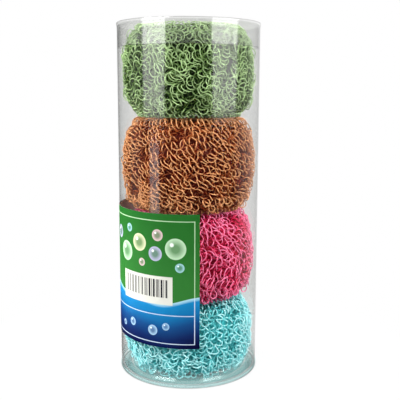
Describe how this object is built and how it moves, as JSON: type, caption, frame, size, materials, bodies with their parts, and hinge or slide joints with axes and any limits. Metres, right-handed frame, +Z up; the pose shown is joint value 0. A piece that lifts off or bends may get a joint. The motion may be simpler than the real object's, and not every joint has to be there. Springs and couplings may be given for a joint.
{
  "type": "pot scrubber set",
  "caption": "Clear upright tube with plug caps and a wrap label, holding a stack of knitted mesh pot scrubbers gathered into balls.",
  "frame": {"origin": "middle of the underside, on the surface that the pack stands on", "axes": "+Z up along the tube; -Y is the front, where the label's edge shows; +X is to the right of the front"},
  "size_m": [0.0866, 0.0866, 0.2126],
  "materials": {
    "clear_plastic": "clear, glossy",
    "printed_label": "printed, satin",
    "tie_thread": "twisted thread",
    "aqua_yarn": "knitted plastic yarn, satin",
    "pink_yarn": "knitted plastic yarn, satin",
    "brown_yarn": "knitted plastic yarn, satin",
    "green_yarn": "knitted plastic yarn, satin"
  },
  "bodies": {
    "sleeve": {"tube": "clear_plastic", "label": "printed_label"},
    "base_cap": {"base_cap": "clear_plastic"},
    "aqua_ball": {"aqua_scrubber": "aqua_yarn", "aqua_tie": "tie_thread"},
    "pink_ball": {"pink_scrubber": "pink_yarn", "pink_tie": "tie_thread"},
    "brown_ball": {"brown_scrubber": "brown_yarn", "brown_tie": "tie_thread"},
    "green_ball": {"green_scrubber": "green_yarn", "green_tie": "tie_thread"},
    "top_cap": {"top_cap": "clear_plastic"}
  },
  "joints": [
    {"name": "base_pull", "type": "slide", "parent": "sleeve", "child": "base_cap", "axis": [0, 0, -1], "range_m": [0, 0.03]},
    {"name": "aqua_lift", "type": "slide", "parent": "sleeve", "child": "aqua_ball", "axis": [0, 0, 1], "range_m": [0, 0.225]},
    {"name": "pink_lift", "type": "slide", "parent": "aqua_ball", "child": "pink_ball", "axis": [0, 0, 1], "range_m": [0, 0.18]},
    {"name": "brown_lift", "type": "slide", "parent": "pink_ball", "child": "brown_ball", "axis": [0, 0, 1], "range_m": [0, 0.126]},
    {"name": "green_lift", "type": "slide", "parent": "brown_ball", "child": "green_ball", "axis": [0, 0, 1], "range_m": [0, 0.07]},
    {"name": "cap_lift", "type": "slide", "parent": "green_ball", "child": "top_cap", "axis": [0, 0, 1], "range_m": [0, 0.03]}
  ]
}
